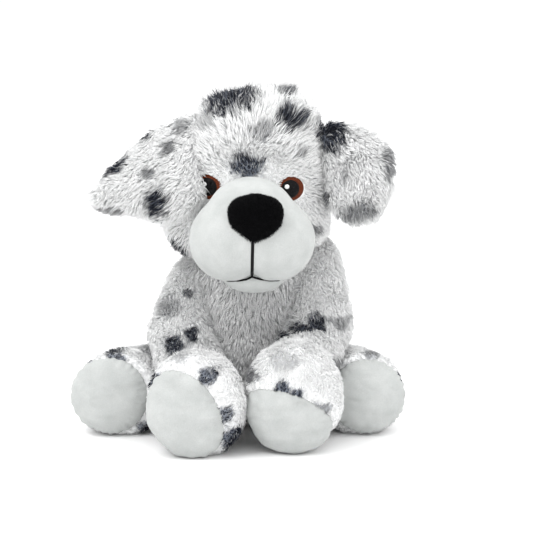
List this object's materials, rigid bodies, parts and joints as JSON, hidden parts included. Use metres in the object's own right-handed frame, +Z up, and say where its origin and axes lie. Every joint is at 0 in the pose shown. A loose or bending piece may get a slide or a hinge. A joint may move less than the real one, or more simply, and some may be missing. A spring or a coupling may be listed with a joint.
{
  "type": "plush dog",
  "caption": "Seated plush dog with spotted long-pile body, smooth muzzle and foot pads, floppy ears, and head, limbs, ears and tail that move on stuffed joints.",
  "frame": {"origin": "middle of the torso's flat seat, on the floor", "axes": "+Z up, the dog looks along -Y, +X is the dog's own left"},
  "size_m": [0.2639, 0.2569, 0.274],
  "materials": {
    "plush": "matte",
    "smooth_plush": "matte",
    "nose_plush": "matte",
    "black_thread": "satin",
    "brown_thread": "satin",
    "white_thread": "satin",
    "stuffing": "matte",
    "pellet_bag": "matte"
  },
  "bodies": {
    "torso": {"belly_panel": "plush", "back_panel_left": "plush", "back_panel_right": "plush", "torso_stuffing": "stuffing", "pellet_bag": "pellet_bag"},
    "neck": {"neck_stuffing": "stuffing"},
    "head": {"head_panel_left": "plush", "head_panel_right": "plush", "head_gusset": "plush", "head_stuffing": "stuffing", "muzzle_cover": "smooth_plush", "muzzle_stuffing": "stuffing", "chin": "smooth_plush", "nose": "nose_plush", "mouth_stitch_upright": "black_thread", "mouth_stitch_lips": "black_thread", "left_eye_iris": "brown_thread", "left_eye_pupil": "black_thread", "left_eye_glint": "white_thread", "right_eye_iris": "brown_thread", "right_eye_pupil": "black_thread", "right_eye_glint": "white_thread"},
    "left_ear": {"left_ear_front": "plush", "left_ear_back": "plush"},
    "right_ear": {"right_ear_front": "plush", "right_ear_back": "plush"},
    "left_arm": {"left_arm_cover_outer": "plush", "left_arm_cover_inner": "plush", "left_paw_pad": "smooth_plush", "left_arm_stuffing": "stuffing"},
    "right_arm": {"right_arm_cover_outer": "plush", "right_arm_cover_inner": "plush", "right_paw_pad": "smooth_plush", "right_arm_stuffing": "stuffing"},
    "left_leg": {"left_leg_cover_upper": "plush", "left_leg_cover_lower": "plush", "left_foot_pad": "smooth_plush", "left_leg_stuffing": "stuffing"},
    "right_leg": {"right_leg_cover_upper": "plush", "right_leg_cover_lower": "plush", "right_foot_pad": "smooth_plush", "right_leg_stuffing": "stuffing"},
    "tail": {"tail_cover": "plush", "tail_stuffing": "stuffing"}
  },
  "joints": [
    {"name": "head_turn", "type": "hinge", "parent": "torso", "child": "neck", "pos_m": [0.006, -0.004, 0.142], "axis": [0, 0, 1], "range_deg": [-25, 25], "stiffness_Nm_per_rad": 1.5},
    {"name": "head_nod", "type": "hinge", "parent": "neck", "child": "head", "pos_m": [0.006, -0.004, 0.142], "axis": [-1, 0, 0], "range_deg": [-7, 14], "stiffness_Nm_per_rad": 3, "springref_deg": 1.15},
    {"name": "left_ear_lift", "type": "hinge", "parent": "head", "child": "left_ear", "pos_m": [0.06, -0.024, 0.24], "axis": [-0.8382, -0.3631, -0.4069], "range_deg": [-3, 22], "stiffness_Nm_per_rad": 0.3},
    {"name": "right_ear_lift", "type": "hinge", "parent": "head", "child": "right_ear", "pos_m": [-0.042, -0.034, 0.226], "axis": [-0.3702, 0.5174, 0.7716], "range_deg": [-7, 18], "stiffness_Nm_per_rad": 0.3},
    {"name": "left_arm_lift", "type": "hinge", "parent": "torso", "child": "left_arm", "pos_m": [0.056, -0.006, 0.13], "axis": [-0.9295, -0.1999, 0.3098], "range_deg": [0, 22], "stiffness_Nm_per_rad": 0.1},
    {"name": "right_arm_lift", "type": "hinge", "parent": "torso", "child": "right_arm", "pos_m": [-0.044, -0.006, 0.113], "axis": [-0.9295, 0.1999, -0.3098], "range_deg": [0, 22], "stiffness_Nm_per_rad": 0.1},
    {"name": "left_leg_splay", "type": "hinge", "parent": "torso", "child": "left_leg", "pos_m": [0.042, 0.006, 0.033], "axis": [0, 0, 1], "range_deg": [0, 28], "stiffness_Nm_per_rad": 0.1},
    {"name": "right_leg_splay", "type": "hinge", "parent": "torso", "child": "right_leg", "pos_m": [-0.042, 0.006, 0.033], "axis": [0, 0, -1], "range_deg": [0, 28], "stiffness_Nm_per_rad": 0.1},
    {"name": "tail_wag", "type": "hinge", "parent": "torso", "child": "tail", "pos_m": [0, 0.057, 0.038], "axis": [0, 0, 1], "range_deg": [-25, 25], "stiffness_Nm_per_rad": 0.1}
  ]
}
